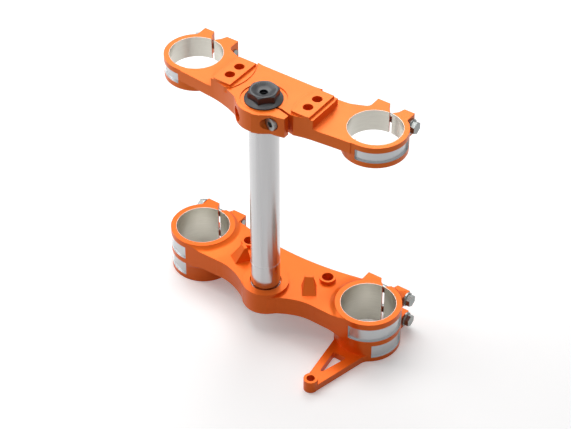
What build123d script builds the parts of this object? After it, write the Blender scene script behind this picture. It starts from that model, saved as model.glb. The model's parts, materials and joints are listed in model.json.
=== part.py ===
from build123d import *
import math
import os

os.makedirs("parts", exist_ok=True)

# Layout. The origin lies on the stem axis, level with the lower fork rings' top faces.
# +X points to the ring that carries the bracket arm, +Y to the fork legs, +Z up the stem.
fork_spacing = 208.0
fork_offset = 32.0
clamp_rise = 221.0
stem_d = 30.0
stem_bore_d = 20.0
stem_seat_h = 28.0
stem_step = 0.15
fit_gap = 0.03
thread_gap = 0.1
slit_w = 2.6

# Upper clamp
upper_bore_d = 53.0
upper_wall = 5.5
upper_ring_h = 23.0
upper_arm_t = 12.5
upper_boss_r = 26.8
upper_back_l = 44.0
plateau_rise = 9.3
plateau_half_w = 30.0
plateau_front = 41.5
arm_rise = 6.0
arm_rise_start = 64.0
island_r = 47.0
island_x = 76.0
bar_pad_w = 20.0
bar_pad_l = 42.0
bar_pad_x = 45.0
bar_pad_y = 15.3
bar_pad_rise = 12.8
bar_ledge_w = 2.5
bar_hole_d = 10.0
bar_hole_gap = 15.2
screw_recess_r = 22.5
screw_recess_t = 1.2
pinch_slit_angle = -14.0
lobe_angle = -56.0
lobe_reach = 27.5
flank_pocket_angle = -129.0
flank_pocket_d = 15.5
flank_pocket_depth = 5.5

# Lower clamp
lower_bore_d = 56.0
lower_wall = 6.0
lower_ring_h = 50.0
plate_drop = 4.0
plate_under = 25.5
lower_boss_r = 24.0
plate_front = 52.5
plate_back_l = 42.0
cove_r = 6.0
under_cove_r = 9.0
cove_sink = 0.3
plate_boss_x = 49.3
plate_boss_y = 40.0
plate_boss_r = 8.5
plate_hole_d = 12.0
stem_relief_r = 16.2
stem_relief_t = 3.0
stem_groove = 0.8
stop_h = 11.4
stop_w = 9.2
stop_l = 8.0
stop_x = 41.8
stop_y = 17.6
stop_angle = 29.4
stop_ramp = 10.5
stop_foot = 3.0

# Pinch ears, measured from each fork axis
bolt_to_tip = 6.0
upper_ear_reach = 39.0
upper_ear_in = 22.0
upper_ear_out = 18.5
upper_bolt_drop = 11.0
lower_ear_reach = 41.0
lower_ear_in = 26.0
lower_ear_out = 23.5
lower_ear_drop = 3.0
lower_ear_lift = 4.0
lower_bolt_drop = 9.5
lower_bolt_lift = 13.0
lug_h = 13.0

# Ring windows: drops from the ring's top face, and angles round the +X ring
window_depth = 2.0
upper_window_drop = 6.0
upper_window_h = 11.5
lower_window_drop = 7.0
lower_window_h = 16.0
lower_window_pitch = 22.0
window_start = -93.0
window_end = 20.0
arm_window_start = -50.0

# Bracket arm, measured from the +X fork axis
arm_tip_x = -7.0
arm_tip_y = -91.5
arm_t = 11.5
arm_boss_r = 7.2
arm_boss_h = 13.7
arm_hole_d = 8.4
arm_beam_w = 7.9
arm_sink = 0.6
arm_root_in = 20.0
arm_root_out = 14.5

# Fasteners
bolt_d = 8.0
bolt_clear = 0.6
bolt_flange_d = 15.0
bolt_flange_t = 1.8
seat_clear = 1.0
bolt_hex = 11.0
bolt_hex_h = 5.0
bolt_end = 1.0
cap_head_d = 13.0
cap_head_h = 8.0
cap_socket = 6.0
cap_socket_t = 4.5
head_clear = 0.9
stem_bolt_z = -1.0
stem_bolt_seat = 7.0
stem_bolt_l = 24.0
stem_bolt_along = 7.0
screw_flange_r = 18.7
screw_flange_t = 2.6
screw_hex = 27.0
screw_h = 11.0
screw_shank_l = 22.0
screw_dish_r = 11.5
screw_dish_t = 1.6
screw_hole_d = 8.0
screw_hole_t = 5.0

fork_x = fork_spacing / 2
fork_y = fork_offset
upper_r = upper_bore_d / 2 + upper_wall
lower_r = lower_bore_d / 2 + lower_wall
upper_under_z = clamp_rise - upper_arm_t
plateau_z = clamp_rise + plateau_rise
stem_r = stem_d / 2
journal_r = stem_r - stem_step
upper_bolt_y = upper_ear_reach - bolt_to_tip
lower_bolt_y = lower_ear_reach - bolt_to_tip
lower_ear_h = lower_ring_h - lower_ear_drop - lower_ear_lift
lower_bolt_pitch = lower_ring_h - lower_bolt_drop - lower_bolt_lift
upper_grip = upper_ear_out + upper_ear_in
lower_grip = lower_ear_out + lower_ear_in


def polar(radius, angle):
    return (radius * math.cos(math.radians(angle)), radius * math.sin(math.radians(angle)))


def ring_band(outer_r, start, end):
    with BuildSketch() as band:
        with BuildLine():
            outer = CenterArc((0, 0), outer_r + 1, start, end - start)
            inner = CenterArc((0, 0), outer_r - window_depth, start, end - start)
            Line(outer @ 0, inner @ 0)
            Line(outer @ 1, inner @ 1)
        make_face()
    return band.sketch


def ear_gap(bore_d, ring_r, reach, inner_w, outer_w):
    half = slit_w / 2
    neck = (bore_d / 2 + ring_r) / 2
    bend = neck + (reach - neck) * 0.4
    with BuildSketch() as gap:
        with BuildLine():
            Polyline(
                (-half, bore_d / 2 - 2),
                (-half, neck),
                (-inner_w * 0.6, bend),
                (-inner_w, reach + 1),
                (outer_w, reach + 1),
                (outer_w * 0.7, bend),
                (half, neck),
                (half, bore_d / 2 - 2),
                close=True,
            )
        make_face()
    return gap.sketch


def ring_plan(ring_r, reach, inner_w, outer_w):
    with BuildSketch() as plan:
        with Locations((fork_x, fork_y)):
            Circle(ring_r)
        with Locations((fork_x - inner_w / 2, fork_y + reach / 2)):
            Rectangle(inner_w, reach)
        with Locations((fork_x + outer_w / 2, fork_y + reach / 2)):
            Rectangle(outer_w, reach)
        mirror(about=Plane.YZ)
    return plan.sketch


# Upper clamp in plan: arms, stem boss with its pinch lobe, rings and ears
upper_rings = ring_plan(upper_r, upper_ear_reach, upper_ear_in, upper_ear_out)
lobe_foot = Vector(*polar(lobe_reach, lobe_angle))
lobe_along = Vector(*polar(1, lobe_angle + 90))

with BuildSketch() as upper_plan:
    with BuildLine():
        front = Line((0, plateau_front), (plateau_half_w, plateau_front))
        sweep = SagittaArc(front @ 1, (fork_x - upper_r, fork_y + 20), -1.5)
        shoulder = Line(sweep @ 1, (fork_x - upper_ear_in, fork_y + 24.5))
        to_axis = Line(shoulder @ 1, (fork_x, fork_y))
        to_back = Line(to_axis @ 1, (fork_x, fork_y - upper_r))
        back = Line(to_back @ 1, (fork_x - upper_back_l, fork_y - upper_r - 2.6))
        waist = SagittaArc(back @ 1, polar(upper_boss_r, -45), 4)
        to_stem = Line(waist @ 1, (0, 0))
        Line(to_stem @ 1, front @ 0)
    make_face()
    mirror(about=Plane.YZ)
    Circle(upper_boss_r)
    add(upper_rings)
    with BuildLine():
        Polyline(
            (0, 0),
            (4.5, -lobe_reach),
            lobe_foot - lobe_along * 4.5,
            lobe_foot + lobe_along * 25.5,
            (fork_x / 2, 0),
            close=True,
        )
    make_face()
    arm_corners = upper_plan.vertices().filter_by_position(Axis.Y, fork_y + 24, fork_y + 25)
    fillet(arm_corners, 6)

# The middle stands up between two shallow round bays in which the bar pads rise
with BuildSketch() as plateau_plan:
    Rectangle(2 * island_x, 3 * plateau_front)
    with Locations((island_x, bar_pad_y), (-island_x, bar_pad_y)):
        Circle(island_r, mode=Mode.SUBTRACT)
    with Locations((island_x, 0), (-island_x, 0)):
        Rectangle(2 * (island_x - plateau_half_w - 8), 4 * plateau_front, mode=Mode.SUBTRACT)
    add(upper_plan.sketch, mode=Mode.INTERSECT)

with BuildSketch() as ledge_plan:
    with Locations((bar_pad_x, bar_pad_y), (-bar_pad_x, bar_pad_y)):
        Rectangle(bar_pad_w + 2 * bar_ledge_w, bar_pad_l + 2 * bar_ledge_w)
    add(upper_plan.sketch, mode=Mode.INTERSECT)

with BuildSketch() as pad_plan:
    with Locations((bar_pad_x, bar_pad_y), (-bar_pad_x, bar_pad_y)):
        Rectangle(bar_pad_w, bar_pad_l)
    add(upper_plan.sketch, mode=Mode.INTERSECT)

# The stem pinch bolt enters the lobe's rear face and crosses the slit square on
stem_bolt_dir = Vector(*polar(1, pinch_slit_angle + 90))
stem_bolt_mouth = lobe_foot + lobe_along * stem_bolt_along
stem_bolt_plane = Plane(
    origin=stem_bolt_mouth + stem_bolt_dir * stem_bolt_seat + Vector(0, 0, clamp_rise + stem_bolt_z),
    z_dir=stem_bolt_dir,
)

pocket_z = (upper_under_z + plateau_z) / 2 - upper_arm_t * 0.2
pocket_plane = Plane(
    origin=Vector(*polar(upper_boss_r + 2, flank_pocket_angle), pocket_z),
    z_dir=Vector(*polar(-1, flank_pocket_angle)),
)


def ear_plane(side, reach, bolt_y, z):
    return Plane(origin=(side * (fork_x + reach), fork_y + bolt_y, z), z_dir=(-side, 0, 0))


upper_bolt_z = clamp_rise - upper_bolt_drop
upper_ear_planes = [ear_plane(side, upper_ear_out, upper_bolt_y, upper_bolt_z) for side in (1, -1)]

with BuildPart() as upper_clamp:
    with BuildSketch(Plane.XY.offset(upper_under_z)):
        add(upper_plan.sketch)
    extrude(amount=upper_arm_t + arm_rise)
    # arms that climb gently from the rings to the middle
    with BuildSketch(Plane.XZ):
        with BuildLine():
            bay_x = island_x - island_r
            Polyline(
                (-fork_spacing, upper_under_z),
                (fork_spacing, upper_under_z),
                (fork_spacing, clamp_rise),
                (arm_rise_start, clamp_rise),
                (bay_x, clamp_rise + arm_rise),
                (-bay_x, clamp_rise + arm_rise),
                (-arm_rise_start, clamp_rise),
                (-fork_spacing, clamp_rise),
                close=True,
            )
        make_face()
    extrude(amount=fork_spacing, both=True, mode=Mode.INTERSECT)
    with BuildSketch(Plane.XY.offset(upper_under_z)):
        add(plateau_plan.sketch)
    extrude(amount=upper_arm_t + plateau_rise)
    with BuildSketch(Plane.XY.offset(upper_under_z)):
        add(ledge_plan.sketch)
    extrude(amount=upper_arm_t + plateau_rise)
    with BuildSketch(Plane.XY.offset(upper_under_z)):
        add(pad_plan.sketch)
    extrude(amount=upper_arm_t + bar_pad_rise)
    with BuildSketch(Plane.XY.offset(clamp_rise - upper_ring_h)):
        add(upper_rings)
    extrude(amount=upper_ring_h)
    # fork bores with the slits between their ears
    with BuildSketch(Plane.XY.offset(clamp_rise - upper_ring_h)):
        with Locations((fork_x, fork_y)):
            Circle(upper_bore_d / 2)
            add(ear_gap(upper_bore_d, upper_r, upper_ear_reach, 9, 7.5))
        mirror(about=Plane.YZ)
    extrude(amount=upper_ring_h, mode=Mode.SUBTRACT)
    # stem bore, pinch slit and seat of the cap screw
    with BuildSketch(Plane.XY.offset(upper_under_z)):
        Circle(journal_r + fit_gap)
        with Locations(Location((*polar(lobe_reach, pinch_slit_angle), 0), (0, 0, pinch_slit_angle))):
            Rectangle(2 * lobe_reach, slit_w)
    extrude(amount=upper_arm_t + plateau_rise, mode=Mode.SUBTRACT)
    with BuildSketch(Plane.XY.offset(plateau_z - screw_recess_t)):
        Circle(screw_recess_r)
    extrude(amount=screw_recess_t, mode=Mode.SUBTRACT)
    with BuildSketch(Plane.XY.offset(upper_under_z)):
        with Locations((bar_pad_x, bar_pad_y), (-bar_pad_x, bar_pad_y)):
            with GridLocations(1, bar_hole_gap, 1, 2):
                Circle(bar_hole_d / 2)
    extrude(amount=upper_arm_t + bar_pad_rise, mode=Mode.SUBTRACT)
    # windows round the outer backs of the rings
    with BuildSketch(Plane.XY.offset(clamp_rise - upper_window_drop)):
        with Locations((fork_x, fork_y)):
            add(ring_band(upper_r, window_start, window_end))
        mirror(about=Plane.YZ)
    extrude(amount=-upper_window_h, mode=Mode.SUBTRACT)
    with BuildSketch(pocket_plane):
        Circle(flank_pocket_d / 2)
    extrude(amount=flank_pocket_depth + 2, mode=Mode.SUBTRACT)
    # bolt holes
    with BuildSketch(stem_bolt_plane):
        Circle((cap_head_d + head_clear) / 2)
    extrude(amount=-2 * cap_head_h, mode=Mode.SUBTRACT)
    with BuildSketch(stem_bolt_plane):
        Circle(bolt_d / 2 + thread_gap)
    extrude(amount=stem_bolt_l + 2, mode=Mode.SUBTRACT)
    for plane in upper_ear_planes:
        with BuildSketch(plane):
            Circle(bolt_d / 2 + thread_gap)
        extrude(amount=upper_grip + 2 * bolt_end, mode=Mode.SUBTRACT)
        with BuildSketch(plane):
            Circle((bolt_d + bolt_clear) / 2)
        extrude(amount=upper_ear_out, mode=Mode.SUBTRACT)
        with BuildSketch(plane):
            Circle((bolt_flange_d + seat_clear) / 2)
        extrude(amount=-bolt_flange_d, mode=Mode.SUBTRACT)
upper_clamp.part.label = "upper_clamp"

# Lower clamp in plan
lower_rings = ring_plan(lower_r, lower_ear_reach, lower_ear_in, lower_ear_out)

with BuildSketch() as plate_plan:
    with BuildLine():
        nose = TangentArc((0, plate_front), (fork_x - lower_r + 2, fork_y + 28.5), tangent=(1, 0))
        plate_shoulder = Line(nose @ 1, (fork_x - lower_ear_in, fork_y + 29.5))
        plate_axis = Line(plate_shoulder @ 1, (fork_x, fork_y))
        plate_back = Line(plate_axis @ 1, (fork_x, fork_y - lower_r))
        plate_tail = Line(plate_back @ 1, (fork_x - plate_back_l, fork_y - lower_r + 0.7))
        plate_waist = SagittaArc(plate_tail @ 1, polar(lower_boss_r, -55), 3.2)
        plate_stem = Line(plate_waist @ 1, (0, 0))
        Line(plate_stem @ 1, nose @ 0)
    make_face()
    mirror(about=Plane.YZ)
    Circle(lower_boss_r)
    add(lower_rings)
    plate_corners = plate_plan.vertices().filter_by_position(Axis.Y, fork_y + 29, fork_y + 30)
    fillet(plate_corners, 3)

# The bracket arm runs back from the foot of the +X ring to a round tip
arm_tip = Vector(fork_x + arm_tip_x, fork_y + arm_tip_y)
arm_root_r = lower_r - arm_sink
arm_in = Vector(fork_x - arm_root_in, fork_y - math.sqrt(arm_root_r**2 - arm_root_in**2))
arm_out = Vector(fork_x + arm_root_out, fork_y - math.sqrt(arm_root_r**2 - arm_root_out**2))
window_y = fork_y - lower_r - 11.6

with BuildSketch() as arm_plan:
    Polygon(
        arm_in,
        arm_tip - Vector(arm_boss_r, 0),
        arm_tip + Vector(arm_boss_r, 0),
        arm_out,
        align=None,
    )
    with Locations(arm_tip):
        Circle(arm_boss_r)
    with Locations((fork_x, fork_y)):
        Circle(lower_r)

with BuildSketch() as arm_window:
    window_in = arm_in.X + arm_beam_w + 0.9
    window_out = arm_out.X - arm_beam_w - 2.3
    Polygon(
        (window_in, window_y),
        (window_out, window_y),
        (arm_tip.X - 1.7, arm_tip.Y + 16.3),
        align=None,
    )
    fillet(arm_window.vertices(), 1.8)

lower_bolt_zs = (-lower_bolt_drop, -lower_bolt_drop - lower_bolt_pitch)
lug_gap = lower_bolt_pitch - lug_h
lower_ear_planes = [
    ear_plane(side, lower_ear_out, lower_bolt_y, z) for side in (1, -1) for z in lower_bolt_zs
]

# steering stops: a sloping back, a short flat top and a spread foot
stop_plane = Plane(origin=(stop_x, stop_y, 0), x_dir=(*polar(1, stop_angle), 0), z_dir=(0, 0, 1))
stop_mid_z = -plate_drop + stop_foot

with BuildPart() as stops:
    with BuildSketch(stop_plane.offset(stop_h)):
        with Locations((0, stop_l / 2)):
            Rectangle(stop_w, stop_l)
    with BuildSketch(stop_plane.offset(stop_mid_z)):
        with Locations((0, (stop_l + 1 - stop_ramp) / 2)):
            Rectangle(stop_w + 3, stop_l + 1 + stop_ramp)
    loft()
    with BuildSketch(stop_plane.offset(stop_mid_z)):
        with Locations((0, (stop_l + 1 - stop_ramp) / 2)):
            Rectangle(stop_w + 3, stop_l + 1 + stop_ramp)
    with BuildSketch(stop_plane.offset(-plate_drop - 1)):
        with Locations((-stop_w / 2, (stop_l + 2 - stop_ramp - 4) / 2)):
            Rectangle(2 * stop_w + 4, stop_l + 2 + stop_ramp + 4)
    loft()
    mirror(about=Plane.YZ)

with BuildPart() as lower_clamp:
    with BuildSketch(Plane.XY.offset(-plate_under)):
        add(plate_plan.sketch)
    extrude(amount=plate_under - plate_drop)
    # coves where the rings stand on the plate and hang below it
    with BuildSketch(Plane.XZ.offset(-fork_y)):
        with BuildLine():
            top_cove = RadiusArc(
                (fork_x + lower_r + cove_r, -plate_drop),
                (fork_x + lower_r, -0.4),
                cove_r * 2,
            )
            Polyline(
                top_cove @ 1,
                (fork_x + lower_r - 1, -0.4),
                (fork_x + lower_r - 1, -plate_under - under_cove_r),
                (fork_x + lower_r - cove_sink, -plate_under - under_cove_r),
            )
            under_cove = RadiusArc(
                (fork_x + lower_r - cove_sink, -plate_under - under_cove_r),
                (fork_x + lower_r + under_cove_r, -plate_under),
                under_cove_r,
            )
            Polyline(
                under_cove @ 1,
                (fork_x + lower_r + under_cove_r, -plate_drop - 1),
                (fork_x + lower_r + cove_r, -plate_drop - 1),
                top_cove @ 0,
            )
        make_face()
    revolve(axis=Axis((fork_x, fork_y, 0), (0, 0, 1)))
    mirror(about=Plane.YZ)
    with BuildSketch(Plane.XY.offset(-lower_ring_h)):
        add(plate_plan.sketch)
    extrude(amount=lower_ring_h, mode=Mode.INTERSECT)
    # stem boss and the two small bosses
    with BuildSketch(Plane.XY.offset(-plate_under)):
        Circle(lower_boss_r)
        with Locations((plate_boss_x, plate_boss_y), (-plate_boss_x, plate_boss_y)):
            Circle(plate_boss_r)
    extrude(amount=plate_under)
    add(stops.part)
    # fork rings and their ears
    with BuildSketch(Plane.XY.offset(-lower_ring_h)):
        with Locations((fork_x, fork_y), (-fork_x, fork_y)):
            Circle(lower_r)
    extrude(amount=lower_ring_h)
    with BuildSketch(Plane.XY.offset(-lower_ear_drop)):
        add(lower_rings)
    extrude(amount=-lower_ear_h)
    # bracket arm with its raised tip
    with BuildSketch(Plane.XY.offset(-lower_ring_h)):
        add(arm_plan.sketch)
    extrude(amount=arm_t)
    with BuildSketch(Plane.XY.offset(-lower_ring_h)):
        with Locations(arm_tip):
            Circle(arm_boss_r)
    extrude(amount=arm_boss_h)
    with BuildSketch(Plane.XY.offset(-lower_ring_h)):
        add(arm_window.sketch)
        with Locations(arm_tip):
            Circle(arm_hole_d / 2)
    extrude(amount=arm_boss_h, mode=Mode.SUBTRACT)
    # fork bores and slits
    with BuildSketch(Plane.XY.offset(-lower_ring_h - 1)):
        with Locations((fork_x, fork_y), (-fork_x, fork_y)):
            Circle(lower_bore_d / 2)
    extrude(amount=lower_ring_h + 2, mode=Mode.SUBTRACT)
    with BuildSketch(Plane.XY.offset(-lower_ring_h)):
        with Locations((fork_x, fork_y)):
            add(ear_gap(lower_bore_d, lower_r, lower_ear_reach, 11, 9.5))
        mirror(about=Plane.YZ)
    extrude(amount=lower_ring_h, mode=Mode.SUBTRACT)
    # the outer ears are cut into two lugs, one for each bolt
    with BuildSketch(Plane.XY.offset(-lower_bolt_drop - lug_h / 2)):
        with Locations((fork_x + lower_ear_out / 2 + 4, fork_y + lower_ear_reach / 2)):
            Rectangle(lower_ear_out, lower_ear_reach + 2)
        with Locations((fork_x, fork_y)):
            Circle(lower_r, mode=Mode.SUBTRACT)
        mirror(about=Plane.YZ)
    extrude(amount=-lug_gap, mode=Mode.SUBTRACT)
    # stem bore with a relieved mouth, and the holes of the small bosses
    with BuildSketch(Plane.XY.offset(-plate_under)):
        Circle(stem_r + fit_gap)
        with Locations((plate_boss_x, plate_boss_y), (-plate_boss_x, plate_boss_y)):
            Circle(plate_hole_d / 2)
    extrude(amount=plate_under, mode=Mode.SUBTRACT)
    with BuildSketch():
        Circle(stem_relief_r)
    extrude(amount=-stem_relief_t, mode=Mode.SUBTRACT)
    # two rows of windows round each ring; the lower row stops short of the bracket arm
    with BuildSketch(Plane.XY.offset(-lower_window_drop)):
        with Locations((fork_x, fork_y)):
            add(ring_band(lower_r, window_start, window_end + 5))
        mirror(about=Plane.YZ)
    extrude(amount=-lower_window_h, mode=Mode.SUBTRACT)
    with BuildSketch(Plane.XY.offset(-lower_window_drop - lower_window_pitch)):
        with Locations((fork_x, fork_y)):
            add(ring_band(lower_r, arm_window_start, window_end + 5))
        with Locations((-fork_x, fork_y)):
            add(ring_band(lower_r, 180 - window_end - 5, 180 - window_start))
    extrude(amount=-lower_window_h, mode=Mode.SUBTRACT)
    for plane in lower_ear_planes:
        with BuildSketch(plane):
            Circle(bolt_d / 2 + thread_gap)
        extrude(amount=lower_grip + 2 * bolt_end, mode=Mode.SUBTRACT)
        with BuildSketch(plane):
            Circle((bolt_d + bolt_clear) / 2)
        extrude(amount=lower_ear_out, mode=Mode.SUBTRACT)
        with BuildSketch(plane):
            Circle((bolt_flange_d + seat_clear) / 2)
        extrude(amount=-bolt_flange_d, mode=Mode.SUBTRACT)
lower_clamp.part.label = "lower_clamp"

# Steering stem: a bright tube with a bearing seat above the lower clamp
screw_seat_z = plateau_z - screw_recess_t
stem_top_z = screw_seat_z - 0.5
with BuildPart() as steering_stem:
    with BuildSketch(Plane.XY.offset(-plate_under)):
        Circle(stem_r)
    extrude(amount=plate_under + stem_seat_h)
    with BuildSketch(Plane.XY.offset(stem_seat_h)):
        Circle(journal_r)
    extrude(amount=stem_top_z - stem_seat_h)
    # groove at the foot of the bearing seat
    with BuildSketch():
        Circle(stem_r + 1)
        Circle(stem_r - stem_groove, mode=Mode.SUBTRACT)
    extrude(amount=-stem_relief_t, mode=Mode.SUBTRACT)
    with BuildSketch(Plane.XY.offset(-plate_under)):
        Circle(stem_bore_d / 2)
    extrude(amount=stem_top_z + plate_under, mode=Mode.SUBTRACT)
steering_stem.part.label = "steering_stem"

# Cap screw: hexagon with a dished top on a tapered flange
screw_hex_r = screw_hex / 2
with BuildPart() as stem_cap_screw:
    with BuildSketch(Plane.XY.offset(screw_seat_z)):
        RegularPolygon(screw_hex_r, 6, major_radius=False, rotation=pinch_slit_angle)
    extrude(amount=screw_h)
    with BuildSketch(Plane.XZ):
        with BuildLine():
            Polyline(
                (0, screw_seat_z),
                (screw_hex_r * 1.3, screw_seat_z),
                (screw_hex_r * 1.3, screw_seat_z + screw_h - 2.6),
                (screw_hex_r * 0.97, screw_seat_z + screw_h),
                (0, screw_seat_z + screw_h),
                close=True,
            )
        make_face()
    revolve(axis=Axis.Z, mode=Mode.INTERSECT)
    with BuildSketch(Plane.XZ):
        with BuildLine():
            Polyline(
                (0, screw_seat_z),
                (screw_flange_r, screw_seat_z),
                (screw_flange_r, screw_seat_z + screw_flange_t * 0.4),
                (screw_hex_r, screw_seat_z + screw_flange_t * 1.4),
                (0, screw_seat_z + screw_flange_t * 1.4),
                close=True,
            )
        make_face()
    revolve(axis=Axis.Z)
    with BuildSketch(Plane.XY.offset(screw_seat_z)):
        Circle(stem_bore_d / 2 - thread_gap)
    extrude(amount=-screw_shank_l)
    with BuildSketch(Plane.XZ):
        with BuildLine():
            Polyline(
                (0, screw_seat_z + screw_h + 1),
                (screw_dish_r, screw_seat_z + screw_h + 1),
                (screw_dish_r, screw_seat_z + screw_h),
                (screw_hole_d / 2, screw_seat_z + screw_h - screw_dish_t),
                (screw_hole_d / 2, screw_seat_z + screw_h - screw_dish_t - screw_hole_t),
                (0, screw_seat_z + screw_h - screw_dish_t - screw_hole_t),
                close=True,
            )
        make_face()
    revolve(axis=Axis.Z, mode=Mode.SUBTRACT)
stem_cap_screw.part.label = "stem_cap_screw"

with BuildPart() as stem_pinch_bolt:
    with BuildSketch(stem_bolt_plane):
        Circle(bolt_d / 2)
    extrude(amount=stem_bolt_l)
    with BuildSketch(stem_bolt_plane):
        Circle(cap_head_d / 2)
    extrude(amount=-cap_head_h)
    with BuildSketch(stem_bolt_plane.offset(-cap_head_h)):
        RegularPolygon(cap_socket / 2, 6, major_radius=False)
    extrude(amount=cap_socket_t, mode=Mode.SUBTRACT)
stem_pinch_bolt.part.label = "stem_pinch_bolt"


def ear_bolt(plane, grip):
    """Flanged hexagon bolt whose flange lies on the plane and whose shank runs along it."""
    with BuildPart() as bolt:
        with BuildSketch(plane):
            Circle(bolt_d / 2)
        extrude(amount=grip + bolt_end)
        with BuildSketch(plane):
            Circle(bolt_flange_d / 2)
        extrude(amount=-bolt_flange_t)
        with BuildSketch(plane.offset(-bolt_flange_t)):
            RegularPolygon(bolt_hex / 2, 6, major_radius=False)
        extrude(amount=-bolt_hex_h)
    return bolt


ear_bolts = {
    "upper_right_bolt": ear_bolt(upper_ear_planes[0], upper_grip),
    "upper_left_bolt": ear_bolt(upper_ear_planes[1], upper_grip),
    "lower_right_top_bolt": ear_bolt(lower_ear_planes[0], lower_grip),
    "lower_right_foot_bolt": ear_bolt(lower_ear_planes[1], lower_grip),
    "lower_left_top_bolt": ear_bolt(lower_ear_planes[2], lower_grip),
    "lower_left_foot_bolt": ear_bolt(lower_ear_planes[3], lower_grip),
}

for piece in (upper_clamp, lower_clamp, steering_stem, stem_cap_screw, stem_pinch_bolt):
    export_step(piece.part, f"parts/{piece.part.label}.step")

for name, bolt in ear_bolts.items():
    bolt.part.label = name
    export_step(bolt.part, f"parts/{name}.step")
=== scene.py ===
import math

import bmesh
import bpy
import numpy as np
from mathutils import Matrix, Vector
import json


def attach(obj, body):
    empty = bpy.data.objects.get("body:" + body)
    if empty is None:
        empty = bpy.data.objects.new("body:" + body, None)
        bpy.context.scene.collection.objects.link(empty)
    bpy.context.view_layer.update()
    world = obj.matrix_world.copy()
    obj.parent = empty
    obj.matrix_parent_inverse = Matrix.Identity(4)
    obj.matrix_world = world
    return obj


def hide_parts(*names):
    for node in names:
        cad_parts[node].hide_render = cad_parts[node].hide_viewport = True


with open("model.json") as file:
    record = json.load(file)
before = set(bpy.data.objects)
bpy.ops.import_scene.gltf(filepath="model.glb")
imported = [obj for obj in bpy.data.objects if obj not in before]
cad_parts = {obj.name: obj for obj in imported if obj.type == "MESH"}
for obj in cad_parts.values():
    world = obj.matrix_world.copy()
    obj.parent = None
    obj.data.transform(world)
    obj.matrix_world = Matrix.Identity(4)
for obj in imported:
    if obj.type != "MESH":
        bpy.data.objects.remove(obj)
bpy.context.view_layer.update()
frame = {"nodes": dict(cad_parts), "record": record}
nodes = frame["nodes"]
mounts = {mount["name"]: mount for mount in frame["record"]["mounts"]}
print("frame loaded:", len(nodes), "nodes")


def mountPlace(name):
    # a mount's place in millimetres
    return [round(value * 1000, 4) for value in mounts[name]["pos_m"]]


# The clamps' shapes below are in millimetres, and the finishes and the studio in metres
forkX, forkY, _ = mountPlace("lower_right_fork_clamp")
upperBore = mounts["upper_right_fork_clamp"]["dims"]["r_mm"]
lowerBore = mounts["lower_right_fork_clamp"]["dims"]["r_mm"]


# Solid tools for carving
def addObject(name, mesh):
    made = bpy.data.objects.new(name, mesh)
    bpy.context.scene.collection.objects.link(made)
    return made


def skin(name, rings):
    # rings is an array of ring, point and x y z: quads join each ring to the next, and both ends are closed
    rings = np.asarray(rings, float)
    index = np.arange(rings.shape[0] * rings.shape[1]).reshape(rings.shape[:2])
    after = np.roll(index, -1, axis=1)
    quads = np.stack([index[:-1], after[:-1], after[1:], index[1:]], axis=-1).reshape(-1, 4)
    mesh = bpy.data.meshes.new(name)
    mesh.from_pydata((rings.reshape(-1, 3) / 1000).tolist(), [], quads.tolist() + index[[0, -1]].tolist())
    work = bmesh.new()
    work.from_mesh(mesh)
    bmesh.ops.recalc_face_normals(work, faces=work.faces)
    work.to_mesh(mesh)
    work.free()
    return addObject(name, mesh)


def prism(name, outline, low, high):
    # the outline in plan, taken straight up from low to high
    outline = np.asarray(outline, float)
    return skin(name, [np.column_stack([outline, np.full(len(outline), z)]) for z in (low, high)])


def strip(name, edge, inner, low, top):
    # a bar along x: at each x it fills y from the edge to inner, and z from low to top
    x, y = np.asarray(edge, float).T
    inner, low, top = (np.broadcast_to(value, x.shape) for value in (inner, low, top))
    corners = [(x, y, low), (x, inner, low), (x, inner, top), (x, y, top)]
    return skin(name, np.stack([np.stack(corner, axis=-1) for corner in corners], axis=1))


def lathe(name, centre, profile, steps=48):
    # each (radius, height) of the profile is a circle: x = cx + r cos a, y = cy + r sin a
    angle = np.radians(np.linspace(0, 360, steps, endpoint=False))
    rings = [
        np.column_stack([
            centre[0] + radius * np.cos(angle), centre[1] + radius * np.sin(angle), np.full(steps, height)
        ])
        for radius, height in profile
    ]
    return skin(name, rings)


def hull(name, points):
    work = bmesh.new()
    for point in points:
        work.verts.new(Vector(point) / 1000)
    bmesh.ops.convex_hull(work, input=work.verts)
    mesh = bpy.data.meshes.new(name)
    work.to_mesh(mesh)
    work.free()
    return addObject(name, mesh)


def arc(centre, radius, start, end, count):
    # points from angle start to angle end, in radians: centre + radius (cos a, sin a)
    angle = np.linspace(start, end, count)
    return np.asarray(centre) + radius * np.column_stack([np.cos(angle), np.sin(angle)])


def mirrored(side, outline):
    # the outline on the +X side, or its mirror image for side -1
    return np.asarray(outline, float) * (side, 1)


def carve(piece, tool, operation):
    step = piece.modifiers.new("carve", "BOOLEAN")
    step.operation, step.object, step.solver = operation, tool, "EXACT"
    bpy.context.view_layer.update()
    shaped = piece.evaluated_get(bpy.context.evaluated_depsgraph_get())
    made = bpy.data.meshes.new_from_object(shaped)
    piece.modifiers.clear()
    piece.data = made
    bpy.data.objects.remove(tool)


def cut(piece, tool):
    carve(piece, tool, "DIFFERENCE")


def join(piece, tool):
    carve(piece, tool, "UNION")


mergeGap = {"copy": 2e-6, "carved": 3e-6, "sliver": 2e-6}  # metres
creaseAngle = 30.0


def copyOf(node, name):
    # a joined-up copy of the node's mesh, ready for carving
    source = nodes[node].data
    mesh = bpy.data.meshes.new(name)
    mesh.from_pydata([v.co[:] for v in source.vertices], [], [p.vertices[:] for p in source.polygons])
    work = bmesh.new()
    work.from_mesh(mesh)
    bmesh.ops.remove_doubles(work, verts=work.verts, dist=mergeGap["copy"])
    work.to_mesh(mesh)
    work.free()
    return addObject(name, mesh)


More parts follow.
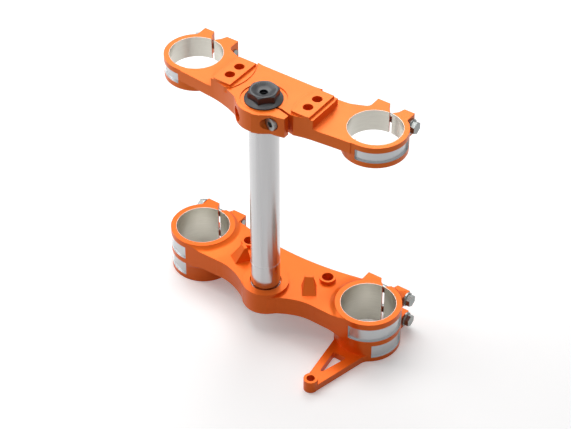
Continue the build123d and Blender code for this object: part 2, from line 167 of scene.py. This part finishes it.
def settle(piece, node):
    # smooth shading up to the crease angle, and the piece takes the node's place
    work = bmesh.new()
    work.from_mesh(piece.data)
    bmesh.ops.remove_doubles(work, verts=work.verts, dist=mergeGap["carved"])
    bmesh.ops.dissolve_degenerate(work, edges=work.edges, dist=mergeGap["sliver"])
    work.to_mesh(piece.data)
    work.free()
    piece.data.shade_smooth()
    piece.data.set_sharp_from_angle(angle=math.radians(creaseAngle))
    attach(piece, "root")
    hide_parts(node)
    return piece


# Pinch slits, alike in both clamps
slit = {
    "half": 1.5,        # half the slit's width at the bore
    "neck": 1.3,        # how far that width goes past the bore
    "bendAt": 0.4,      # where the gap's sides turn, as a share of the way out
    "bendIn": 0.6,
    "bendOut": 0.7,
    "inside": 2.0,      # how far inside the bore the tool starts
    "past": 1.0,        # how far past the ears it ends
    "low": -60.0,
    "high": 260.0,
}


def openSlit(piece, bore, ears):
    # the slit widens into a gap between the ears just behind the bore
    reach, inner, outer = ears
    half, neck, start, end = slit["half"], bore + slit["neck"], bore - slit["inside"], reach + slit["past"]
    bend = neck + (reach - neck) * slit["bendAt"]
    plan = [
        (-half, start), (-half, neck), (-inner * slit["bendIn"], bend), (-inner, end),
        (outer, end), (outer * slit["bendOut"], bend), (half, neck), (half, start),
    ]
    for side in (1, -1):
        outline = mirrored(side, np.array(plan) + (forkX, forkY))
        cut(piece, prism("slit", outline, slit["low"], slit["high"]))


waistSoft = 3.0  # how softly the waist runs into the boss


def softMin(a, b, width):
    # min(a, b) - max(width - |a - b|, 0)^2 / (4 width)
    return np.minimum(a, b) - np.maximum(width - np.abs(a - b), 0) ** 2 / (4 * width)


def waistLine(x, shape):
    # rear outline in plan: round boss, hollow arc up to back, then straight to the ring's rear
    bossR, back, ring = shape["bossR"], shape["back"], (forkX, shape["ringBack"])
    angle = math.radians(shape["waistAngle"])
    foot = bossR * np.array([math.cos(angle), math.sin(angle)])
    chord = np.array(back) - foot
    along = (x - foot[0]) / chord[0]
    hollow = foot[1] + along * chord[1] + 4 * shape["waistDip"] * np.clip(along * (1 - along), 0, 1)
    straight = back[1] + (x - back[0]) / (ring[0] - back[0]) * (ring[1] - back[1])
    rear = np.where(x > back[0], straight, hollow)
    boss = np.where(x < bossR, -np.sqrt(np.maximum(bossR**2 - x**2, 0)), 0.0)
    return softMin(boss, rear, waistSoft)


# Upper clamp: hollow waists, arms that rise to the middle, and wide bases under the bar mounts
upper = {
    "bossR": 26.8,
    "waistAngle": -34.0,
    "waistDip": 1.35,
    "back": (56.0, -4.9),
    "ringBack": 0.0,
    "under": 208.5,
    "armTop": 221.0,
    "armRise": 6.0,
    "riseFrom": 64.0,
    "riseTo": 29.0,
    "fillX": (50.0, 54.0, 56.0, 60.0, 64.0, 70.0, 80.0, 90.0, 98.0),
    "fillInner": 8.0,
    "cutStart": ((1, 35.0), (-1, 17.0)),  # the pinch lobe leaves less room on the +X side
    "cutEnd": 103.0,
    "cutSteps": 60,
    "cutInner": -60.0,
    "cutLow": 190.0,
    "cutHigh": 240.0,
    "ears": (39.0, 9.0, 7.5),  # their reach, and the gap's half width on the stem's side and outside
}

barBase = {
    "top": 231.2,
    "reach": 58.7,
    "corner": 6.0,
    "arc": (76.0, 15.3, 47.0),  # centre x, centre y and radius of the inner edge
    "y": (-8.2, 39.0),
    "sink": 1.0,
    "inset": 0.01,              # keeps the base's rear edge just inside the waist
    "arcSteps": 25,
    "frontSteps": 9,
    "holeLow": 200.0,
    "holeHigh": 240.0,
}


def armTop(x):
    # the arm's top rises evenly from riseFrom to riseTo
    share = (upper["riseFrom"] - np.abs(x)) / (upper["riseFrom"] - upper["riseTo"])
    return upper["armTop"] + upper["armRise"] * np.clip(share, 0.0, 1.0)


def baseOutline():
    arcX, arcY, arcR = barBase["arc"]
    low, high = barBase["y"]
    reach, corner = barBase["reach"], barBase["corner"]
    y = np.linspace(low, high, barBase["arcSteps"])
    inner = np.column_stack([arcX - np.sqrt(arcR**2 - (y - arcY) ** 2), y])
    frontX = np.linspace(reach, inner[0, 0], barBase["frontSteps"])
    frontY = np.maximum(waistLine(frontX, upper) + barBase["inset"], low)
    front = np.column_stack([frontX, frontY])
    return np.vstack([inner[1:], [(reach - corner, high), (reach, high - corner)], front[:-1]])


def carveUpper():
    piece = copyOf("upper_clamp", "upperClampCarved")
    bar = mounts["bar_mount_holes"]["dims"]
    barY = mountPlace("bar_mount_holes")[1]
    for side, start in upper["cutStart"]:
        x = np.array(upper["fillX"])
        edge = mirrored(side, np.column_stack([x, waistLine(x, upper)]))
        join(piece, strip("fill", edge, upper["fillInner"], upper["under"], armTop(x)))
        x = np.linspace(start, upper["cutEnd"], upper["cutSteps"])
        edge = mirrored(side, np.column_stack([x, waistLine(x, upper)]))
        cut(piece, strip("cut", edge, upper["cutInner"], upper["cutLow"], upper["cutHigh"]))
        outline = mirrored(side, baseOutline())
        join(piece, prism("base", outline, upper["under"] + barBase["sink"], barBase["top"]))
        for half in (-0.5, 0.5):
            centre = (side * bar["spacing_x_mm"] / 2, barY + half * bar["spacing_y_mm"])
            hole = [(bar["hole_r_mm"], barBase["holeLow"]), (bar["hole_r_mm"], barBase["holeHigh"])]
            cut(piece, lathe("hole", centre, hole))
    openSlit(piece, upperBore, upper["ears"])
    return settle(piece, "upper_clamp")


# Lower clamp: hollow waists, the bracket arm and the steering stops
lower = {
    "bossR": 24.2,
    "waistAngle": -36.0,
    "waistDip": 2.5,
    "back": (55.0, -0.9),
    "ringBack": -2.0,
    "plateTop": -4.0,
    "ringR": 34.0,
    "cutX": (12.0, 67.0),
    "cutSteps": 56,
    "cutInner": -50.0,
    "cutLow": -45.0,
    "cutHigh": 5.0,
    "ears": (41.0, 11.0, 9.5),
}

arm = {
    "tip": mountPlace("bracket_arm_hole")[:2],
    "hole": mounts["bracket_arm_hole"]["dims"]["r_mm"],
    "holeLow": -60.0,
    "holeHigh": -30.0,
    "boss": 7.2,
    "bossTop": -36.3,
    "low": -50.0,
    "top": -42.2,
    "left": (81.5, 7.3),    # where each edge heads for, on its way from the tip to the ring
    "right": (120.5, 2.7),
    "rootR": 12.0,
    "sunk": 2.0,            # how deep the root stands in the ring
    "window": ((91.8, -10.6), (107.0, -11.2), (96.0, -46.2)),
    "windowCorner": 1.5,
    "windowLow": -60.0,
    "windowHigh": -37.0,
    "rootSteps": 9,
    "endSteps": 25,
    "insideSteps": 13,
    "cornerSteps": 7,
}

# What clears the CAD's arm away: all that lies outside the ring, inside this box
clearing = {
    "x": (60.0, 150.0),
    "y": (-80.0, 17.6),
    "z": (-60.0, -34.9),
    "gap": 0.01,
    "turn": (-155.0, -25.0),
    "steps": 40,
}

stop = {
    "top": ((37.8, 16.0), (44.6, 20.3), (42.9, 22.7), (36.1, 18.4)),
    "topZ": 11.4,
    "foot": ((42.0, 4.4), (54.2, 12.4), (43.9, 27.6), (31.4, 18.6)),
    "sink": 0.5,
    "old": ((34.9, -3.7), (55.5, 7.9), (42.9, 30.3), (22.2, 18.7)),  # clears the CAD's stop away
    "oldHigh": 30.0,
}


def shortWay(start, end):
    # the same end angle, at most half a turn from the start
    return start + (end - start + math.pi) % (2 * math.pi) - math.pi


def direction(vector):
    return math.atan2(vector[1], vector[0])


def rootFillet(start, along, outward, ring):
    # fillet between the arm's edge line and the ring: its centre is a radius from both
    radius, ringR = arm["rootR"], lower["ringR"]
    base = start + radius * outward - ring
    half = base @ along
    root = math.sqrt(half**2 - base @ base + (ringR + radius) ** 2)
    travel = -half - root if root < -half else -half + root
    centre = start + travel * along + radius * outward
    first = direction(-outward)
    return arc(centre, radius, first, shortWay(first, direction(ring - centre)), arm["rootSteps"])


def armOutline():
    ring, tip = np.array([forkX, forkY]), np.array(arm["tip"])
    runs = []
    for side, target in ((-1, arm["left"]), (1, arm["right"])):
        start = tip + (side * arm["boss"], 0.0)
        along = np.array(target) - start
        along /= np.linalg.norm(along)
        outward = np.array([side * along[1], -side * along[0]])
        runs.append(np.vstack([start, rootFillet(start, along, outward, ring)]))
    end = arc(tip, arm["boss"], 0, -math.pi, arm["endSteps"])[1:-1]
    ends = [direction(run[-1] - ring) for run in runs]
    inside = arc(ring, lower["ringR"] - arm["sunk"], *ends, arm["insideSteps"])
    return np.vstack([runs[1][::-1], end, runs[0], inside])


def roundedTriangle(corners, radius, steps):
    # at each corner an arc that touches both sides, a radius / tan(half the corner) from it
    points = []
    for i in range(3):
        here, before, after = (np.array(corners[k % 3]) for k in (i, i - 1, i + 1))
        u, v = before - here, after - here
        u, v = u / np.linalg.norm(u), v / np.linalg.norm(v)
        half = math.acos(u @ v) / 2
        centre = here + (u + v) / np.linalg.norm(u + v) * radius / math.sin(half)
        first, last = (direction(here + w * radius / math.tan(half) - centre) for w in (u, v))
        points.append(arc(centre, radius, first, shortWay(first, last), steps))
    return np.vstack(points)


def carveArm(piece):
    low, high = clearing["y"]
    first, last = clearing["x"]
    turn = np.radians(clearing["turn"])
    near = arc((forkX, forkY), lower["ringR"] - clearing["gap"], *turn, clearing["steps"])
    away = np.vstack([near, [(last, high), (last, low), (first, low), (first, high)]])
    cut(piece, prism("away", away, *clearing["z"]))
    join(piece, prism("arm", armOutline(), arm["low"], arm["top"]))
    join(piece, lathe("boss", arm["tip"], [(arm["boss"], arm["low"]), (arm["boss"], arm["bossTop"])]))
    cut(piece, lathe("hole", arm["tip"], [(arm["hole"], arm["holeLow"]), (arm["hole"], arm["holeHigh"])]))
    window = roundedTriangle(arm["window"], arm["windowCorner"], arm["cornerSteps"])
    cut(piece, prism("window", window, arm["windowLow"], arm["windowHigh"]))


def carveStops(piece):
    for side in (1, -1):
        cut(piece, prism("old", mirrored(side, stop["old"]), lower["plateTop"], stop["oldHigh"]))
        top = [(x, y, stop["topZ"]) for x, y in mirrored(side, stop["top"])]
        foot = [(x, y, lower["plateTop"] - stop["sink"]) for x, y in mirrored(side, stop["foot"])]
        join(piece, hull("stop", top + foot))


def carveLower():
    piece = copyOf("lower_clamp", "lowerClampCarved")
    x = np.linspace(*lower["cutX"], lower["cutSteps"])
    for side in (1, -1):
        edge = mirrored(side, np.column_stack([x, waistLine(x, lower)]))
        cut(piece, strip("cut", edge, lower["cutInner"], lower["cutLow"], lower["cutHigh"]))
    carveArm(piece)
    carveStops(piece)
    openSlit(piece, lowerBore, lower["ears"])
    return settle(piece, "lower_clamp")


# Cap screw: the hexagon's top is a bowl with a small blind hole at its middle
screw = {
    "top": 240.1,
    "bowl": ((11.9, 1.0), (11.5, 0.0), (8.6, -2.2), (5.4, -3.2), (3.4, -3.6), (3.4, -9.0)),
    "steps": 64,
}


def carveScrew():
    piece = copyOf("stem_cap_screw", "capScrewCarved")
    bowl = [(radius, screw["top"] + height) for radius, height in screw["bowl"]]
    cut(piece, lathe("bowl", (0.0, 0.0), bowl, screw["steps"]))
    return settle(piece, "stem_cap_screw")


carved = {
    "upper_clamp": carveUpper(),
    "lower_clamp": carveLower(),
    "stem_cap_screw": carveScrew(),
}
print("carved:", {name: len(piece.data.polygons) for name, piece in carved.items()})


# Shader maths: one value in a node tree, whose operators add Math nodes
class Sig:
    def __init__(self, tree, socket):
        self.tree, self.socket = tree, socket

    def math(self, operation, *others, clamp=False):
        values = {i + 1: other for i, other in enumerate(others)}
        settings = {"operation": operation, "use_clamp": clamp}
        return self.tree.node("ShaderNodeMath", settings, {0: self, **values})

    def __add__(self, other):
        return self.math("ADD", other)

    def __sub__(self, other):
        return self.math("SUBTRACT", other)

    def __mul__(self, other):
        return self.math("MULTIPLY", other)

    def __truediv__(self, other):
        return self.math("DIVIDE", other)

    def __pow__(self, other):
        return self.math("POWER", other)

    def __abs__(self):
        return self.math("ABSOLUTE")

    def __radd__(self, other):
        return self.math("ADD", other)

    def __rsub__(self, other):
        return self.tree.node("ShaderNodeMath", {"operation": "SUBTRACT"}, {0: other, 1: self})

    def below(self, limit, soft):
        # 1 well under the limit, 0 over it, with a soft step between
        return ((limit - self) / soft + 0.5).math("ADD", 0.0, clamp=True)

    def above(self, limit, soft):
        return ((self - limit) / soft + 0.5).math("ADD", 0.0, clamp=True)

    def between(self, low, high, soft):
        return self.above(low, soft) * self.below(high, soft)


# A node tree with one method that makes any node
class Tree:
    def __init__(self, tree):
        self.tree = tree
        self.tree.nodes.clear()

    def link(self, socket, value):
        if isinstance(value, Sig):
            self.tree.links.new(value.socket, socket)
        elif isinstance(value, tuple) and len(value) == 3 and len(socket.default_value) == 4:
            socket.default_value = (*value, 1)
        else:
            socket.default_value = value

    def node(self, kind, settings, values, out=0):
        made = self.tree.nodes.new(kind)
        for key, setting in settings.items():
            setattr(made, key, setting)
        for key, value in values.items():
            self.link(made.inputs[key], value)
        if isinstance(out, list):
            return [Sig(self, made.outputs[key]) for key in out]
        return Sig(self, made.outputs[out])

    def noise(self, scale, detail, stretch=(1, 1, 1)):
        moved = self.node("ShaderNodeMapping", {}, {"Vector": self.coords, "Scale": stretch})
        return self.node("ShaderNodeTexNoise", {}, {"Vector": moved, "Scale": scale, "Detail": detail})

    def blend(self, mask, first, second):
        return self.node("ShaderNodeMix", {"data_type": "RGBA"}, {0: mask, 6: first, 7: second}, out=2)

    def relief(self, height, look):
        # fine relief over edges that the look rounds by its edge radius
        rounded = self.node("ShaderNodeBevel", {"samples": 6}, {"Radius": look["edge"]})
        values = {
            "Height": height, "Distance": look["reliefDepth"], "Strength": look["relief"], "Normal": rounded
        }
        return self.node("ShaderNodeBump", {}, values)

    def plainStudio(self):
        # 1 for camera, mirror and clear rays, which see the plain white studio
        rays = ["Is Camera Ray", "Is Glossy Ray", "Is Transmission Ray"]
        camera, glossy, clear = self.node("ShaderNodeLightPath", {}, {}, out=rays)
        return camera.math("MAXIMUM", glossy).math("MAXIMUM", clear)


class Shade(Tree):
    def __init__(self, name):
        self.material = bpy.data.materials.new(name)
        self.material.use_nodes = True
        super().__init__(self.material.node_tree)
        self.surface = self.tree.nodes.new("ShaderNodeBsdfPrincipled")
        output = self.tree.nodes.new("ShaderNodeOutputMaterial")
        self.tree.links.new(self.surface.outputs[0], output.inputs[0])
        self.coords = self.node("ShaderNodeTexCoord", {}, {}, out="Object")
        self.x, self.y, self.z = self.node("ShaderNodeSeparateXYZ", {}, {0: self.coords}, out=[0, 1, 2])

    def finish(self, **sockets):
        for name, value in sockets.items():
            self.link(self.surface.inputs[name.replace("_", " ")], value)
        return self.material


# Anodised clamps, bare in the fork bores and the ring windows
anodised = {
    "bare": (0.70, 0.68, 0.61),
    "bareDark": (0.54, 0.52, 0.46),
    "window": (0.50, 0.52, 0.53),
    "roughness": 0.34,
    "bareRoughness": 0.30,
    "metallic": 0.34,
    "bareMetallic": 0.92,
    "edge": 0.0005,
    "boreEdge": 0.0003,     # how far the bare metal shows past the bore's own radius
    "windowTurn": -36.0,    # middle of the ring windows, degrees round the +X ring
    "windowCosine": 0.45,   # how far they go each way from there
    "windowDepth": 0.00015,
    "boreSoft": 0.0002,     # widths of the soft steps between bare and orange
    "windowSoft": 0.0001,
    "windowEndSoft": 0.01,
    "grain": 900.0,
    "cloud": 26.0,
    "turning": 60.0,
    "turningStretch": (1, 1, 30),
    "grainRoughness": 0.08,
    "cloudRoughness": 0.05,
    "reliefDepth": 0.00002,
    "relief": 0.25,
}

upperAnodised = {
    "tones": ((0.90, 0.175, 0.009), (0.83, 0.145, 0.006)),
    "gloss": 0.32,
    "bore": upperBore / 1000,
    "ring": 0.032,
    "windows": ((0.215, 0.2035),),  # top and bottom of each band
}

lowerAnodised = {
    "tones": ((0.90, 0.155, 0.006), (0.82, 0.128, 0.004)),
    "gloss": 0.25,
    "bore": lowerBore / 1000,
    "ring": 0.034,
    "windows": ((-0.007, -0.023), (-0.029, -0.045)),
}


def bareMetal(s, clamp):
    # masks of the bare bore and of all bare metal, from the distance to the nearer fork axis:
    # hypot(|x| - forkX, y - forkY)
    across, back = abs(s.x) - forkX / 1000, s.y - forkY / 1000
    radius = (across * across + back * back) ** 0.5
    bore = radius.below(clamp["bore"] + anodised["boreEdge"], anodised["boreSoft"])
    bare = bore
    turn, soft = math.radians(anodised["windowTurn"]), anodised["windowSoft"]
    for top, bottom in clamp["windows"]:
        outward = across * math.cos(turn) + back * math.sin(turn)
        inWindow = (
            s.z.between(bottom - soft, top + soft, soft)
            * radius.below(clamp["ring"] - anodised["windowDepth"], soft)
            * (outward / radius).above(anodised["windowCosine"], anodised["windowEndSoft"])
        )
        bare = bare.math("MAXIMUM", inWindow)
    return bore, bare


def anodisedFinish(name, clamp):
    s = Shade(name)
    bore, bare = bareMetal(s, clamp)
    grain, cloud = s.noise(anodised["grain"], 4.0), s.noise(anodised["cloud"], 2.0)
    orange = s.blend(cloud, *clamp["tones"])
    turned = s.noise(anodised["turning"], 3.0, anodised["turningStretch"])
    metal = s.blend(turned, anodised["bare"], anodised["bareDark"])
    metal = s.blend(bore, anodised["window"], metal)
    roughness = (
        (1 - bare) * anodised["roughness"]
        + bare * anodised["bareRoughness"]
        + (grain - 0.5) * anodised["grainRoughness"]
        + (cloud - 0.5) * anodised["cloudRoughness"]
    )
    return s.finish(
        Base_Color=s.blend(bare, orange, metal),
        Metallic=anodised["metallic"] + bare * (anodised["bareMetallic"] - anodised["metallic"]),
        Roughness=roughness,
        Normal=s.relief(grain, anodised),
        Specular_IOR_Level=clamp["gloss"],
    )


upperFinish = anodisedFinish("upperAnodised", upperAnodised)
lowerFinish = anodisedFinish("lowerAnodised", lowerAnodised)
print("anodised finishes made")

# Stem, polished along its length, with a smoother bearing seat at its foot
stem = {
    "bright": (0.68, 0.68, 0.685),
    "dull": (0.38, 0.38, 0.385),
    "seat": 0.028,
    "roughness": 0.24,
    "streak": 190.0,
    "streakStretch": (1, 1, 0.02),
    "wide": 55.0,
    "wideStretch": (1, 1, 0.03),
    "streakShare": 0.55,
    "streakRoughness": 0.16,
    "seatRoughness": 0.05,  # how much smoother the seat is
    "seatSoft": 0.0003,
    "edge": 0.0003,
    "reliefDepth": 0.00004,
    "relief": 0.3,
}


def stemFinish():
    s = Shade("stemPolished")
    streak = s.noise(stem["streak"], 4.0, stem["streakStretch"])
    wide = s.noise(stem["wide"], 2.0, stem["wideStretch"])
    bands = streak * stem["streakShare"] + wide * (1 - stem["streakShare"])
    onSeat = s.z.below(stem["seat"], stem["seatSoft"])
    uneven = (streak - 0.5) * stem["streakRoughness"]
    return s.finish(
        Base_Color=s.blend(bands, stem["bright"], stem["dull"]),
        Metallic=1.0,
        Roughness=stem["roughness"] + uneven - onSeat * stem["seatRoughness"],
        Normal=s.relief(streak, stem),
    )


# Black cap screw and zinc-plated bolts
blackSteel = {
    "tones": ((0.012, 0.013, 0.016), (0.022, 0.024, 0.030)),
    "grain": 1400.0,
    "cloud": 60.0,
    "metallic": 0.0,
    "roughness": 0.30,
    "grainRoughness": 0.1,
    "reliefDepth": 0.00002,
    "relief": 0.3,
    "edge": 0.0006,
}

zincSteel = {
    "tones": ((0.32, 0.34, 0.33), (0.21, 0.225, 0.22)),
    "grain": 1800.0,
    "cloud": 220.0,
    "metallic": 1.0,
    "roughness": 0.34,
    "grainRoughness": 0.12,
    "reliefDepth": 0.00002,
    "relief": 0.4,
    "edge": 0.0005,
}


def steelFinish(name, steel):
    s = Shade(name)
    grain, cloud = s.noise(steel["grain"], 3.0), s.noise(steel["cloud"], 2.0)
    return s.finish(
        Base_Color=s.blend(cloud, *steel["tones"]),
        Metallic=steel["metallic"],
        Roughness=steel["roughness"] + (grain - 0.5) * steel["grainRoughness"],
        Normal=s.relief(grain, steel),
    )


finishes = {
    "upper_clamp": upperFinish,
    "lower_clamp": lowerFinish,
    "steering_stem": stemFinish(),
    "stem_cap_screw": steelFinish("screwBlack", blackSteel),
}
boltFinish = steelFinish("boltZinc", zincSteel)
for name, node in nodes.items():
    slots = carved.get(name, node).data.materials
    slots.clear()
    slots.append(finishes.get(name, boltFinish))
print("stem, screw and bolt finishes made, and all nodes dressed")

# Studio
studio = {
    "floorZ": -0.0502,
    "floorHalf": 3.0,
    "floorSeen": (0.97, 0.965, 0.965),
    "floorBounce": (0.18, 0.17, 0.165),
    "floorLift": 0.22,
    "world": 0.22,
    "target": (0, 0.03, 0.08),
}

lamps = {
    "key": {"energy": 19.0, "size": (1.3, 1.3), "position": (-0.45, 0.45, 1.35)},
    "rim": {"energy": 4.0, "size": (0.5, 0.9), "position": (-1.0, -0.3, 0.7)},
}


def makeFloor():
    half, z = studio["floorHalf"], studio["floorZ"]
    mesh = bpy.data.meshes.new("floor")
    corners = [(-half, -half, z), (half, -half, z), (half, half, z), (-half, half, z)]
    mesh.from_pydata(corners, [], [(0, 1, 2, 3)])
    s = Shade("floorPale")
    seen = s.plainStudio()
    mesh.materials.append(s.finish(
        Base_Color=s.blend(seen, studio["floorBounce"], studio["floorSeen"]),
        Roughness=0.9,
        Specular_IOR_Level=0.0,
        Emission_Color=(1, 1, 1),
        Emission_Strength=seen * studio["floorLift"],
    ))
    addObject("floor", mesh)


def makeWorld():
    # white to the plain studio's rays, and dimmer where it lights the object
    world = bpy.data.worlds.new("studio")
    bpy.context.scene.world = world
    world.use_nodes = True
    sky = Tree(world.node_tree)
    strength = studio["world"] + sky.plainStudio() * (1 - studio["world"])
    light = sky.node("ShaderNodeBackground", {}, {"Color": (1, 1, 1), "Strength": strength})
    sky.node("ShaderNodeOutputWorld", {}, {"Surface": light}, out=[])


def makeLamp(name, lamp):
    data = bpy.data.lights.new(name, "AREA")
    data.energy, data.shape = lamp["energy"], "RECTANGLE"
    data.size, data.size_y = lamp["size"]
    made = addObject(name, data)
    made.location = lamp["position"]
    aim = Vector(studio["target"]) - Vector(lamp["position"])
    made.rotation_euler = aim.to_track_quat("-Z", "Y").to_euler()


makeFloor()
makeWorld()
for name, lamp in lamps.items():
    makeLamp(name, lamp)

# Camera, at the photograph's viewing angle
view = {
    "elevation": 0.702983,
    "azimuth": 0.613457,
    "roll": -0.000401,
    "position": (0.793836, -1.092264, 1.230942),
    "focal": 1792.886,      # in pixels of a frame this wide
    "frameWidth": 571,
    "sensor": 36.0,
    "clipEnd": 20.0,
}


def makeCamera():
    data = bpy.data.cameras.new("camera")
    data.sensor_width = view["sensor"]
    data.lens = view["focal"] / view["frameWidth"] * view["sensor"]
    data.clip_end = view["clipEnd"]
    camera = addObject("camera", data)
    el, az = view["elevation"], view["azimuth"]
    away = Vector((math.sin(az) * math.cos(el), -math.cos(az) * math.cos(el), math.sin(el)))
    turn = (-away).to_track_quat("-Z", "Y").to_matrix() @ Matrix.Rotation(view["roll"], 3, "Z")
    camera.matrix_world = Matrix.Translation(view["position"]) @ turn.to_4x4()
    bpy.context.scene.camera = camera


makeCamera()
bpy.context.scene.view_settings.view_transform = "Standard"
print("studio and camera set")
